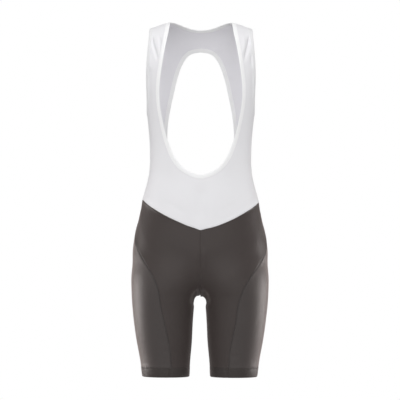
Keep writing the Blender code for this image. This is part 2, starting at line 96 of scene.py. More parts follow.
# Cloth
FINE = 2.7 * MM  # spacing of the fine grid
EDGE_STEPS = np.array([0.5, 1.1, 1.9]) * MM  # closer rows beside each border
EDGE_MOST = 0.8  # share of a stretch that the closer rows may take
EDGE_CLEAR = 1.25  # the even rows go on this many times as far from the border as the last closer one
WALL = 0.9 * MM
SEAM_MEETS = 0.18 * MM  # each panel's share of the gap between two solids
MEETING = 1.6 * MM  # borders closer than this are sewn together
NORMALS_BLEND = 6 * MM  # how far in from a seam the shared normals reach
UNDER_BINDING = 2.0 * MM  # how far a panel goes on under a binding or leg band
SEAM_ROLL = 1.4 * MM  # how far from a seam the cloth has mostly risen again
PUCKER = 0.22 * MM
PUCKER_MEAN = 0.5
PUCKER_SWING = 0.7
PUCKER_REACH = 7 * MM
PUCKER_PITCH = 9 * MM
RELAX_PASSES = 60
RELAX_EDGE = 9 * MM
UNEVEN = 0.35 * MM
UNEVEN_PITCH = 70 * MM

# The slide of the cloth round the waist seam
SEAM_LOWER = 6.2 * MM  # most that the seam lies below the solids' seam
SLIDE_FROM = -85 * MM  # place across where the slide sets in
SLIDE_GROWS = 165 * MM  # distance across over which it grows
SLIDE_BACK = 90 * MM  # place front to back where it has ended
SLIDE_FADES = 70 * MM  # distance front to back over which it fades
SLIDE_REACH = 50 * MM  # up and down from the seam
WAIST_POINT = -0.506  # height of the seam at the centre front
WAIST_RISE = 0.56  # how far the seam rises for each metre outwards

# The knit's course over a bib panel
GIRTH_RADIUS = 0.12  # what turns angles round the body into lengths
STRAP_FROM = -0.2  # height from which the wales turn into the straps
STRAP_TO = -0.12  # height from which they run straight along them


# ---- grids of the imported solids


def axis_of(node):
    """The upright line that a tube of cloth goes round: the body's, or a leg's."""
    if node.startswith(("shorts", "leg")):
        across, back = LEG_AXIS
        return np.array([across if node.endswith("left") else -across, back])
    return np.zeros(2)


def welded(node):
    """A solid's points, each once, and its triangles."""
    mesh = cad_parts[node].data
    mesh.calc_loop_triangles()
    points = np.array([vertex.co for vertex in mesh.vertices])
    triangles = np.array([triangle.vertices for triangle in mesh.loop_triangles])
    _, first, index = np.unique(np.round(points / WELD), axis=0, return_index=True, return_inverse=True)
    return points[first], index.ravel()[triangles]


def outer_face(node):
    """A solid's points, and the outer side of its wall as {directed edge: third corner}."""
    points, triangles = welded(node)
    corners = points[triangles]
    normals = np.cross(corners[:, 1] - corners[:, 0], corners[:, 2] - corners[:, 0])
    areas = np.linalg.norm(normals, axis=1)
    normals /= areas[:, None]
    turned = [tuple(t[[i, (i + 1) % 3, (i + 2) % 3]]) for t in triangles for i in range(3)]
    owner = {(a, b): n // 3 for n, (a, b, _) in enumerate(turned)}
    smooth = np.cos(np.radians(SHEET_TURN))
    left, sides = set(range(len(triangles))), []
    while left:
        todo, side = [left.pop()], []
        while todo:
            n = todo.pop()
            side.append(n)
            for a, b, _ in turned[3 * n : 3 * n + 3]:
                beside = owner[b, a]
                if beside in left and normals[n] @ normals[beside] > smooth:
                    left.discard(beside)
                    todo.append(beside)
        sides.append(side)
    largest = sorted(sides, key=lambda side: -areas[side].sum())[:2]
    away = corners.mean(axis=1)[:, :2] - axis_of(node)
    outer = max(largest, key=lambda side: (away[side] * normals[side, :2]).sum(axis=1).mean())
    return points, {(a, b): c for n in outer for a, b, c in turned[3 * n : 3 * n + 3]}


def loops_of(third):
    """The borders of a sheet, each a list of points with the sheet on its left."""
    following = {a: b for a, b in third if (b, a) not in third}
    loops = []
    while following:
        start = min(following)
        loop, at = [start], following.pop(start)
        while at != start:
            loop.append(at)
            at = following.pop(at)
        loops.append(loop)
    return loops


def fourth_corner(third, a, b, left):
    """The corner opposite a in the cell on edge ab, if left is its corner next to a, and otherwise None."""
    beyond = third.get((a, b))
    if beyond == left:
        return third.get((left, b))
    return beyond if third.get((left, a)) == beyond else None


def row_beyond(third, row, first):
    """The row of points across one row of cells, from its first point, or None where there is none."""
    beyond = [first]
    for a, b in zip(row, row[1:]):
        beyond.append(fourth_corner(third, a, b, beyond[-1]))
        if beyond[-1] is None:
            return None
    return beyond


def open_grid(third, border, columns, rows):
    """The grid whose border starts with its first row, or None where the counts don't fit."""
    grid = [border[: columns + 1]]
    for i in range(1, rows + 1):
        row = row_beyond(third, grid[-1], border[-i])
        if row is None or row[-1] != border[columns + i]:
            return None
        grid.append(row)
    return grid if grid[-1] == border[columns + rows : 2 * columns + rows + 1][::-1] else None


def ring_grid(points, third, border, rows):
    """The grid of a ring, from one border to the other."""
    grid = [border + border[:1]]
    for _ in range(rows):
        row = grid[-1]
        around = sorted({b for a, b in third if a == row[0]} - set(row))
        found = [row_beyond(third, row, b) for b in around]
        found = [beyond for beyond in found if beyond and beyond[0] == beyond[-1]]
        grid.append(min(found, key=lambda beyond: lengths_along(points[[row, beyond]])[-1].sum()))
    return grid


def read_grid(node):
    """The points on the outer face of a node, by row and column. A ring's last column repeats its first."""
    points, third = outer_face(node)
    start = np.array(FIRST_CORNERS[node]) * MM

    def gaps(loop):
        return np.linalg.norm(points[loop] - start, axis=1)

    loops = [np.roll(loop, -gaps(loop).argmin()).tolist() for loop in loops_of(third)]
    border = min(loops, key=lambda loop: gaps(loop).min())
    cells = len(third) // 6
    if len(loops) == 2:
        return points[np.array(ring_grid(points, third, border, cells // len(border)))]
    half = len(border) // 2
    difference = int(round(np.sqrt(half * half - 4 * cells)))
    for k in gaps(border).argsort():
        for columns in ((half + difference) // 2, (half - difference) // 2):
            grid = open_grid(third, border[k:] + border[:k], columns, half - columns)
            if grid:
                return points[np.array(grid)]
    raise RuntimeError(f"{node}: its outer face is no grid")


# ---- smooth surfaces through the grids


def unit(vectors):
    return vectors / np.maximum(np.linalg.norm(vectors, axis=-1, keepdims=True), 1e-12)


def smooth_step(x):
    x = np.clip(x, 0, 1)
    return x * x * (3 - 2 * x)


def lengths_along(points):
    """The length along a line up to each of its points. More axes may stand between the first and xyz."""
    steps = np.linalg.norm(np.diff(points, axis=0), axis=-1)
    return np.concatenate([np.zeros_like(steps[:1]), np.cumsum(steps, axis=0)])


def lengths_across(surface):
    """The length along each row of a grid up to each of its points."""
    return np.swapaxes(lengths_along(np.swapaxes(surface, 0, 1)), 0, 1)


def spline_weights(knots, at):
    """The matrix that turns values at knots into those of their natural cubic spline at other places."""
    count = len(knots)
    step = np.diff(knots)
    bend = np.eye(count)
    load = np.zeros((count, count))
    for i in range(1, count - 1):
        bend[i, i - 1 : i + 2] = step[i - 1], 2 * (step[i - 1] + step[i]), step[i]
        load[i, i - 1 : i + 2] = 6 / step[i - 1], -6 / step[i - 1] - 6 / step[i], 6 / step[i]
    second = np.linalg.solve(bend, load)
    cell = np.clip(np.searchsorted(knots, at, side="right") - 1, 0, count - 2)
    width = step[cell][:, None]
    after = (at - knots[cell])[:, None] / width
    before = 1 - after
    straight = before * np.eye(count)[cell] + after * np.eye(count)[cell + 1]
    curved = (before**3 - before) * second[cell] + (after**3 - after) * second[cell + 1]
    return straight + curved * width**2 / 6


def corners_of(line):
    """The places along a line, between its ends, where it turns sharply."""
    steps = unit(np.diff(line, axis=0))
    straight = (steps[1:] * steps[:-1]).sum(axis=1)
    return [int(i) + 1 for i in np.flatnonzero(straight < np.cos(np.radians(CORNER_TURN)))]


def refine(line, shares, ring=False):
    """A line with each stretch divided at the shares given, on smooth curves from corner to corner."""
    corners = corners_of(line)
    pad = RING_PAD if ring and not corners else 0
    if pad:
        line = np.vstack([line[-1 - pad : -1], line, line[1 : 1 + pad]])
    knots = lengths_along(line)
    steps = np.diff(knots)
    at = [knots[pad + i] + share * steps[pad + i] for i, share in enumerate(shares)]
    if pad:
        return np.vstack([spline_weights(knots, np.concatenate(at)) @ line, line[-1 - pad]])
    ends = [0] + corners + [len(line) - 1]
    parts = []
    for first, last in zip(ends, ends[1:]):
        weights = spline_weights(knots[first : last + 1], np.concatenate(at[first:last]))
        parts.append(weights @ line[first : last + 1])
    return np.vstack(parts + [line[-1]])


def divide(lengths, spacing=FINE, graded=False):
    """For each stretch between grid lines, the shares of it at which the fine lines lie."""
    shares = []
    for length in lengths:
        count = max(1, round(length / spacing))
        shares.append(np.arange(count) / count)
    if graded:
        shares[0] = beside_border(shares[0], EDGE_STEPS / lengths[0])
        last = beside_border(np.append(shares[-1], 1), EDGE_STEPS / lengths[-1])
        shares[-1] = np.append(0, 1 - last[-2:0:-1])
    return shares


def beside_border(shares, close):
    """Shares with closer ones at the start of the stretch."""
    close = close[close < EDGE_MOST]
    return np.unique(np.concatenate([[0], close, shares[shares > close[-1] * EDGE_CLEAR]]))


def fine_surface(grid, ring):
    """A fine grid on the smooth surface through a coarse one, and the fine column of each coarse one."""
    across = np.linalg.norm(np.diff(grid, axis=1), axis=2)
    down = np.linalg.norm(np.diff(grid, axis=0), axis=2)
    column_shares = divide(across.mean(axis=0), graded=not ring)
    row_shares = divide((down.mean(axis=1) + down.max(axis=1)) / 2, graded=True)
    rows = np.stack([refine(row, column_shares, ring) for row in grid])
    columns = [refine(rows[:, j], row_shares) for j in range(rows.shape[1])]
    places = np.cumsum([0] + [len(shares) for shares in column_shares])
    return np.stack(columns, axis=1), places


def closed(surface, ring):
    """The surface with a ring's two end columns made one."""
    if ring:
        surface[:, -1] = surface[:, 0]
    return surface


def normals_of(surface, ring):
    """Outward unit normals of a fine grid."""
    if ring:
        wide = np.concatenate([surface[:, -2:-1], surface, surface[:, 1:2]], axis=1)
        along = np.gradient(wide, axis=1)[:, 1:-1]
    else:
        along = np.gradient(surface, axis=1)
    return unit(np.cross(along, np.gradient(surface, axis=0)))


def relax(surface, ring):
    """Evens out the faint ridges along the coarse grid's lines, and leaves the borders as they are."""
    down = lengths_along(surface)
    distance = np.minimum(down, down[-1] - down)
    if not ring:
        across = lengths_across(surface)
        distance = np.minimum(distance, np.minimum(across, across[:, -1:] - across))
    free = smooth_step(distance / RELAX_EDGE)[..., None] / 2
    for _ in range(RELAX_PASSES):
        wide = np.concatenate([surface[:, -2:-1], surface, surface[:, 1:2]], axis=1)
        tall = np.concatenate([surface[:1], surface, surface[-1:]], axis=0)
        middle = (wide[:, :-2] + wide[:, 2:] + tall[:-2] + tall[2:]) / 4
        surface = closed(surface + free * (middle - surface), ring)
    return surface


# ---- creases

# Soft troughs and ridges on the worn cloth. Each is seen from one side: its line in mm across and up,
# its half-width, and its height, which is below 0 in a trough. It fades out towards both its ends.
FRONT_CREASES = [
    # straps, near the shoulders
    ([(-123, -28), (-118, -56), (-111, -78), (-104, -104)], 3.8, -4.2),
    ([(-131, -76), (-125, -100), (-124, -126)], 5.0, 2.2),
    ([(-101, -30), (-100, -58), (-97, -90)], 3.6, -2.2),
    ([(-128, -108), (-127, -166), (-128, -226)], 7.0, -1.6),
    ([(122, -26), (115, -58), (110, -80), (105, -104)], 3.8, -4.2),
    ([(124, -78), (124, -98), (126, -118)], 4.2, -2.6),
    ([(104, -30), (105, -58), (101, -86)], 4.6, 2.0),
    ([(127, -112), (128, -170), (127, -230)], 7.0, -1.7),
    # bib, above the point of the waist seam
    ([(2, -392), (0, -430), (-1, -470), (0, -498)], 17.0, -2.6),
    ([(-96, -318), (-108, -350), (-104, -384)], 10.0, -0.7),
    ([(104, -330), (110, -356), (100, -392)], 9.0, -0.9),
    ([(-30, -478), (-64, -452), (-98, -440)], 7.0, -0.6),
    ([(38, -474), (72, -452), (92, -444)], 8.0, -0.5),
    # centre front and crotch
    ([(7, -548), (9, -585), (7, -622)], 7.0, 1.5),
    ([(-9, -560), (-10, -600), (-8, -628)], 7.0, 0.7),
    ([(-5, -640), (-11, -652), (-20, -660)], 4.5, -0.4),
    ([(4, -634), (9, -650), (18, -661)], 4.5, -0.35),
    ([(-26, -640), (-34, -655), (-38, -676)], 7.0, -0.45),
    ([(24, -636), (33, -652), (36, -680)], 7.5, -0.4),
    ([(-40, -628), (-66, -606), (-96, -588)], 10.0, -0.7),
    ([(44, -634), (74, -604), (104, -590)], 11.0, -0.6),
    # thighs
    ([(-40, -690), (-42, -730), (-39, -775)], 8.0, -0.5),
    ([(42, -700), (40, -745), (38, -790)], 8.0, -0.5),
    ([(-96, -800), (-78, -808), (-52, -804)], 6.0, -0.4),
    ([(60, -812), (84, -818), (104, -812)], 5.5, -0.45),
]
BACK_CREASES = [
    # straps and the yoke above the opening
    ([(-104, -44), (-94, -78), (-88, -116)], 7.0, -1.5),
    ([(102, -40), (95, -70), (86, -102)], 6.5, -1.2),
    ([(-62, -58), (-30, -66), (4, -64)], 6.0, -0.8),
    ([(66, -54), (40, -64), (14, -68)], 6.0, -0.7),
    ([(-100, -150), (-88, -190), (-90, -236)], 9.0, -0.8),
    ([(98, -142), (90, -176), (92, -214)], 9.0, -0.9),
    # small of the back
    ([(-112, -300), (-84, -322), (-62, -350)], 8.0, -1.0),
    ([(110, -312), (88, -330), (64, -362)], 8.5, -0.9),
    ([(-70, -404), (-28, -414), (16, -410)], 6.0, -1.0),
    ([(-20, -398), (30, -404), (74, -396)], 6.5, -0.7),
    # seat
    ([(-10, -500), (-9, -560), (-10, -610)], 12.0, 0.5),
    ([(-16, -632), (-44, -660), (-84, -672), (-112, -668)], 6.5, -1.7),
    ([(18, -636), (50, -666), (92, -670)], 6.0, -1.5),
    ([(-30, -660), (-54, -686), (-90, -694)], 7.0, -0.9),
    ([(26, -668), (60, -690), (84, -692)], 7.0, -0.7),
    # back of the thighs
    ([(-112, -786), (-84, -796), (-52, -790)], 5.5, -0.8),
    ([(-100, -818), (-76, -824), (-58, -818)], 5.0, -0.6),
    ([(56, -778), (88, -788), (110, -782)], 5.5, -0.7),
    ([(62, -810), (84, -818), (112, -814)], 5.0, -0.7),
]
UNDER_CREASES = [
    ([(-1, -650), (-8, -664), (-13, -672), (-15, -700)], 8.0, -5.0),
    ([(2, -650), (9, -664), (14, -672), (16, -700)], 8.0, -5.0),
    ([(1, -640), (1, -666), (1, -692)], 5.0, 4.5),
]
LEFT_CREASES = [
    ([(0, -520), (0, -600), (0, -690), (0, -860)], 70.0, 2.0),
    ([(-52, -338), (-18, -350), (20, -346)], 6.0, -0.8),
    ([(-30, -366), (8, -376), (44, -368)], 6.5, -0.7),
    ([(-34, -452), (4, -462), (46, -456)], 8.0, -0.5),
    ([(-8, -700), (4, -740), (2, -790)], 10.0, -0.4),
]
RIGHT_CREASES = [
    ([(0, -520), (0, -600), (0, -690), (0, -860)], 70.0, 2.6),
    ([(-44, -332), (-10, -342), (28, -336)], 6.0, -0.7),
    ([(-50, -360), (-14, -372), (30, -370)], 6.5, -0.8),
    ([(-40, -448), (0, -458), (36, -450)], 8.0, -0.5),
    ([(0, -690), (-6, -735), (0, -780)], 10.0, -0.4),
]
# Each side's creases, which way it faces, which axis runs across it, and how squarely cloth must face it
SIDES = [
    (FRONT_CREASES, (0, -1, 0), 0, 0.15),
    (BACK_CREASES, (0, 1, 0), 0, 0.15),
    (LEFT_CREASES, (1, 0, 0), 1, 0.15),
    (RIGHT_CREASES, (-1, 0, 0), 1, 0.15),
    (UNDER_CREASES, (0, 0, -1), 0, -0.2),
]
FADE = 0.32  # share of a crease's length over which it fades at each end
CREASE_STEP = 6  # mm between the points on a crease's line
CREASE_ENDS = 4  # half-widths beyond which a crease is left out
FACING_BLEND = 0.4  # how far past a side's least facing its creases are whole
CREASE_CLEAR = 4 * MM  # creases fade out over this distance from a border


def crease(flat, line, width, height):
    """Height of one crease at points in its side's plane, in mm."""
    line = np.array(line, float)
    line = refine(line, divide(np.diff(lengths_along(line)), CREASE_STEP))
    knots = lengths_along(line)
    near = np.abs(flat - line.mean(axis=0)).max(axis=1) < knots[-1] + CREASE_ENDS * width
    nearest = np.full(near.sum(), np.inf)
    place = np.zeros(near.sum())
    for start, step, before, length in zip(line, np.diff(line, axis=0), knots, np.diff(knots)):
        share = np.clip((flat[near] - start) @ step / length**2, 0, 1)
        gap = np.linalg.norm(flat[near] - start - share[:, None] * step, axis=1)
        place = np.where(gap < nearest, (before + share * length) / knots[-1], place)
        nearest = np.minimum(gap, nearest)
    fade = smooth_step(place / FADE) * smooth_step((1 - place) / FADE)
    heights = np.zeros(len(flat))
    heights[near] = height * fade * np.exp(-((nearest / width) ** 2))
    return heights


def relief(surface, normals):
    """How far creases and the cloth's own unevenness move each point outwards."""
    points = surface.reshape(-1, 3) / MM
    facing = normals.reshape(-1, 3)
    total = np.zeros(len(points))
    for creases, direction, axis, least in SIDES:
        toward = smooth_step((facing @ np.array(direction) - least) / FACING_BLEND)
        for line, width, height in creases:
            total += toward * crease(points[:, [axis, 2]], line, width, height)
    waves = [noise.noise(Vector(point) * MM / UNEVEN_PITCH) for point in points]
    return (total * MM + np.array(waves) * UNEVEN).reshape(surface.shape[:2])


# ---- panels


def pucker(line):
    """Small uneven waves along a seam, mostly from 0 to 1 and the same for both panels that meet there."""
    waves = [noise.noise(Vector(point) / PUCKER_PITCH) for point in line]
    return PUCKER_MEAN + PUCKER_SWING * np.array(waves)


def sideways(line, beside):
    """Unit directions from the next row to a border, square to the border."""
    along = unit(np.gradient(line, axis=0))
    away = line - beside
    return unit(away - (away * along).sum(axis=1, keepdims=True) * along)


def lowered(points, normals):
    """The cloth slid down on the figure round the waist seam, which lies lower on the wearer's left."""
    x, y, z = np.moveaxis(points, -1, 0)
    leftward = smooth_step((x - SLIDE_FROM) / SLIDE_GROWS)
    forward = smooth_step((SLIDE_BACK - y) / SLIDE_FADES)
    above = z - WAIST_POINT - WAIST_RISE * np.abs(x)
    amount = SEAM_LOWER * leftward * forward * np.exp(-((above / SLIDE_REACH) ** 2))
    down = np.array([0, 0, -1]) + normals * normals[..., 2:]
    return points + unit(down) * amount[..., None]


def is_row(line):
    """Whether a border is a row of the grid and not a column."""
    return isinstance(line[0], int)


def over_grid(values, line):
    """Values along a border, shaped so that they spread over the whole grid."""
    return values[None] if is_row(line) else values[:, None]


class Panel:
    """A cut piece of cloth: a fine grid of outer points, with its seams and creases."""

    def __init__(self, node):
        self.node = node
        self.ring = node == "back_bib"
        surface, self.places = fine_surface(grids[node], self.ring)
        self.base = relax(surface, self.ring)
        self.normals = closed(normals_of(self.base, self.ring), self.ring)
        self.own_normals = self.normals.copy()

    def rim(self):
        """The points and normals along all borders."""
        lines = [line for line, _ in self.borders()]
        points = np.vstack([self.base[line] for line in lines])
        return points, np.vstack([self.own_normals[line] for line in lines])

    def share_normals(self, others):
        """Shares the normals at each seam with the panel on its other side, so that both sink one way."""
        rims = [other.rim() for other in others]
        for (line, _), distance in zip(self.borders(), self.distances(self.base)):
            shared = self.own_normals[line].copy()
            for points, normals in rims:
                gaps = np.linalg.norm(self.base[line][:, None] - points[None], axis=2)
                shared += normals[gaps.argmin(axis=1)] * (gaps.min(axis=1) < MEETING)[:, None]
            change = over_grid(unit(shared) - self.normals[line], line)
            share = 1 - smooth_step(distance / NORMALS_BLEND)
            self.normals = unit(self.normals + change * share[..., None])
        self.normals = closed(self.normals, self.ring)

    def sew(self):
        """Slides the cloth down round the waist seam, sinks it along its seams and raises its creases."""
        self.base = lowered(self.base, self.normals)
        node, surface, places = self.node, self.base, self.places
        free = np.ones(surface.shape[:2])
        sunk = np.zeros(surface.shape[:2])
        self.edges = {}
        stretched = surface.copy()
        for names, (line, beside), distance in zip(EDGES[node], self.borders(), self.distances(surface)):
            ends = [places[i] for i in corners_of(grids[node][0])] if len(names) > 1 else []
            ends = [0] + ends + [len(surface[line]) - 1]
            depth = np.zeros(ends[-1] + 1)
            reach = np.full(ends[-1] + 1, SEAM_MEETS)
            for name, first, last in zip(names, ends, ends[1:]):
                self.edges.setdefault(name, []).append((line, first, last))
                if name in BOUND:
                    reach[first : last + 1] = UNDER_BINDING
                else:
                    depth[first : last + 1] = SEAM_DEPTHS[name] * MM
            waves = pucker(surface[line]) * PUCKER * (depth > 0)
            sunk = np.maximum(sunk, over_grid(depth, line) * np.exp(-((distance / SEAM_ROLL) ** 2)))
            sunk += over_grid(waves, line) * np.exp(-((distance / PUCKER_REACH) ** 2))
            free = np.minimum(free, smooth_step(distance / CREASE_CLEAR))
            stretched[line] += sideways(surface[line], surface[beside]) * reach[:, None]
        raised = relief(surface, self.normals) * free
        self.surface = closed(stretched + self.normals * (raised - sunk)[..., None], self.ring)

    def borders(self):
        """Each border's place in the grid, and that of the line beside it."""
        whole = slice(None)
        lines = [((0, whole), (1, whole)), ((-1, whole), (-2, whole))]
        return lines if self.ring else lines + [((whole, 0), (whole, 1)), ((whole, -1), (whole, -2))]

    def distances(self, surface):
        """All points' distance from each border, along the grid lines."""
        down = lengths_along(surface)
        across = lengths_across(surface)
        return down, down[-1] - down, across, across[:, -1:] - across

    def line_beside(self, edge, distance):
        """Points and normals on the cloth along each run of an edge, at a distance in from it."""
        found = []
        for line, first, last in self.edges[edge]:
            points, normals = self.surface, self.normals
            if not is_row(line):
                points, normals = np.swapaxes(points, 0, 1), np.swapaxes(normals, 0, 1)
            if -1 in line:
                points, normals = points[::-1], normals[::-1]
            points, normals = points[:, first : last + 1], normals[:, first : last + 1]
            knots = lengths_along(points)
            cell = np.clip((knots < distance).sum(axis=0) - 1, 0, len(knots) - 2)
            columns = np.arange(points.shape[1])
            share = (distance - knots[cell, columns]) / (knots[cell + 1, columns] - knots[cell, columns])
            share = np.clip(share, 0, 1)[:, None]
            at = points[cell, columns] * (1 - share) + points[cell + 1, columns] * share
            up = normals[cell, columns] * (1 - share) + normals[cell + 1, columns] * share
            found.append((at, unit(up)))
        return found

    def cloth_coordinates(self):
        """Metres across and along the knit's wales, which run up and down the garment."""
        if self.node not in BIBS:
            return np.stack([lengths_across(self.base), lengths_along(self.base)], axis=-1)
        x, y, z = np.moveaxis(self.base, -1, 0)
        side = -1 if self.node == "front_bib" else 1
        round_body = np.arctan2(x, side * y) * GIRTH_RADIUS
        strap = smooth_step((z - STRAP_FROM) / (STRAP_TO - STRAP_FROM))
        return np.stack([round_body * (1 - strap) + x * strap, z - np.abs(y) * strap], axis=-1)


def placed(name, data):
    """A new object, put in the scene."""
    made = bpy.data.objects.new(name, data)
    bpy.context.scene.collection.objects.link(made)
    return made


def mesh_object(name, points, faces, materials, kinds=None, coordinates=None):
    """A smooth mesh. kinds gives each face's material, coordinates each point's place on the cloth."""
    mesh = bpy.data.meshes.new(name)
    mesh.from_pydata(points.reshape(-1, 3).tolist(), [], faces.tolist())
    for one in materials:
        mesh.materials.append(one)
    if kinds is not None:
        mesh.polygons.foreach_set("material_index", kinds)
    if coordinates is not None:
        layer = mesh.uv_layers.new(name="cloth")
        corners = np.empty(len(mesh.loops), int)
        mesh.loops.foreach_get("vertex_index", corners)
        layer.uv.foreach_set("vector", coordinates.reshape(-1, 2)[corners].ravel())
    mesh.shade_smooth()
    return placed(name, mesh)


def shell(name, panel, materials):
    """A panel as a thin closed wall: the outer grid, a grid inside it, and rims between them."""
    outer = panel.surface
    inner = outer - panel.normals * WALL
    coordinates = panel.cloth_coordinates()
    rows, columns = outer.shape[:2]
    index = np.arange(rows * columns).reshape(rows, columns)
    if panel.ring:
        index[:, -1] = index[:, 0]
    a, b, c, d = index[:-1, :-1], index[:-1, 1:], index[1:, 1:], index[1:, :-1]
    front = np.stack([a, b, c, d], axis=-1).reshape(-1, 4)
    back = front[:, ::-1] + rows * columns
    borders = [index[0], index[-1, ::-1]]
    if not panel.ring:
        borders += [index[::-1, 0], index[:, -1]]
    rims = []
    for line in borders:
        start, end = line[:-1], line[1:]
        rims.append(np.stack([start, start + rows * columns, end + rows * columns, end], axis=-1))
    faces = np.concatenate([front, back] + rims)
    kinds = np.zeros(len(faces), int)
    kinds[len(front) : 2 * len(front)] = 1
    points = np.concatenate([outer.reshape(-1, 3), inner.reshape(-1, 3)])
    used, corners = np.unique(faces, return_inverse=True)
    faces = corners.reshape(faces.shape)
    coordinates = np.tile(coordinates.reshape(-1, 2), (2, 1))
    return mesh_object(name, points[used], faces, materials, kinds, coordinates[used])


# ---- bindings and leg bands

# Cross-sections of folded elastic, in mm: across from the edge sewn on the panel, and up from the solid's
# outer face. Widths count from both edges, so the middle stretches with the band.
BINDING_PROFILE = [
    (-1.0, -0.35), (-0.7, 0.05), (0.5, 0.12), (0.9, -0.02), (1.5, 0.02), (2.2, 0.2), (4.5, 0.3),
    (6.5, 0.26), (7.9, 0.12), (8.7, -0.15), (9.1, -0.55), (9.2, -1.0), (9.05, -1.45), (8.5, -1.8),
    (7.0, -1.95), (4.0, -1.98), (1.8, -1.9), (1.2, -1.8), (0.4, -1.9), (-0.8, -1.82), (-1.0, -1.5),
]
BINDING_BASE = 9.0
BAND_PROFILE = [
    (-1.0, -0.35), (-0.7, 0.05), (0.6, 0.14), (1.1, 0.06), (1.7, 0.12), (2.8, 0.16), (3.4, 0.08),
    (4.0, 0.16), (7.0, 0.34), (12.0, 0.42), (17.0, 0.4), (20.5, 0.32), (22.6, 0.12), (23.6, -0.25),
    (24.1, -0.75), (24.1, -1.2), (23.6, -1.7), (22.4, -1.9), (17.0, -1.95), (10.0, -1.98), (3.0, -1.9),
    (-0.6, -1.85), (-1.0, -1.5),
]
BAND_BASE = 24.0
BINDING_FINE = FINE * 0.8  # spacing of the points along it
BAND_FINE = FINE / 2

# Where the two ends of each band are sewn together, and where seams cross it, in mm
JOINS = {
    "neck_binding": [(83, 9, -2)],
    "back_opening_binding": [(0, 92, -392)],
    "armhole_binding_left": [(131, 0, -232)],
    "armhole_binding_right": [(-131, 0, -232)],
    "leg_hem_left": [(65.5, -67, -846), (24.5, 5, -846)],
    "leg_hem_right": [(-72, -64, -846), (-24.5, 5, -846)],
}
JOIN_DEPTH = 1.35
JOIN_WIDTH = 2.0 * MM
FOLD = 1.98  # thickness of the folded elastic below the outer face, which a join presses thinner


def ringed(points):
    """The points of a closed line with the first one again at the end."""
    return np.vstack([points, points[:1]])


class Band:
    """A closed ring of folded elastic on a solid's grid."""

    def __init__(self, node):
        self.node = node
        hem = node in HEMS
        self.profile, self.base = (BAND_PROFILE, BAND_BASE) if hem else (BINDING_PROFILE, BINDING_BASE)
        grid = grids[node]
        steps = np.linalg.norm(np.diff(grid.mean(axis=0), axis=0), axis=1)
        shares = divide(steps, BAND_FINE if hem else BINDING_FINE)
        self.sewn, self.free = (refine(line, shares, ring=True)[:-1] for line in grid)
        along = unit(np.roll(self.sewn, -1, axis=0) - np.roll(self.sewn, 1, axis=0))
        self.out = unit(np.cross(along, self.free - self.sewn))
        self.across = np.cross(self.out, along)
        self.lengths = lengths_along(ringed(self.sewn))
        self.sunk = np.zeros((len(self.sewn), 1))
        for place in JOINS[node]:
            gap = np.linalg.norm(self.sewn - np.array(place) * MM, axis=1, keepdims=True)
            depth = JOIN_DEPTH * np.exp(-(((gap - gap.min()) / JOIN_WIDTH) ** 2))
            self.sunk = np.maximum(self.sunk, depth)

    def at(self, across, up):
        """Points round the ring at a place in its cross-section."""
        share = np.clip(across / self.base, 0, 1)
        past = across - share * self.base
        pressed = up - self.sunk * (up + FOLD) / FOLD
        return self.sewn + (self.free - self.sewn) * share + (self.across * past + self.out * pressed) * MM

    def tube(self, materials):
        """The band as one closed skin round its cross-section."""
        points = np.stack([self.at(across, up) for across, up in self.profile], axis=1)
        count, sides = points.shape[:2]
        widths = lengths_along(np.array(self.profile + self.profile[:1])) * MM
        index = np.arange((count + 1) * (sides + 1)).reshape(count + 1, sides + 1)
        grid = np.concatenate([points, points[:, :1]], axis=1)
        grid = np.concatenate([grid, grid[:1]])
        coordinates = np.stack(np.meshgrid(self.lengths, widths, indexing="ij"), axis=-1)
        a, b, c, d = index[:-1, :-1], index[1:, :-1], index[1:, 1:], index[:-1, 1:]
        faces = np.stack([a, b, c, d], axis=-1).reshape(-1, 4)
        made = mesh_object(self.node + "_elastic", grid, faces, materials, coordinates=coordinates)
        weld(made)
        return made


def weld(made):
    """Joins the points that two ends of a grid share, which only their cloth coordinates tell apart."""
    form = bmesh.new()
    form.from_mesh(made.data)
    bmesh.ops.remove_doubles(form, verts=form.verts, dist=WELD)
    form.to_mesh(made.data)
    form.free()


# ---- stitches

THREAD = 0.19 * MM  # half its thickness
STITCH_SIDES = 5
# A stitch from end to end: the place as a share of its length, then width and height in half thicknesses
STITCH_RINGS = ((-0.5, 0.0, -0.9), (-0.3, 1.0, 0.35), (0.3, 1.0, 0.35), (0.5, 0.0, -0.9))
STITCH_SHARE = 0.78  # share of its pitch that each stitch in a needle row takes
NEEDLE = 2.3 * MM  # each needle row's distance from its seam
PANEL_PITCH = 3.0 * MM
BAND_PITCH = 2.6 * MM
COVER_PITCH = 2.4 * MM
# Needle rows on a binding and a leg band, as places in their cross-sections. One is on the inner face.
BINDING_ROWS = [(0.9, 0.05), (1.2, -1.9)]
BAND_ROWS = [(1.1, 0.05), (3.4, 0.05)]


def values_at(places, knots, values):
    """A line's points or normals at places along it."""
    return np.stack([np.interp(places, knots, values[:, i]) for i in range(3)], axis=1)


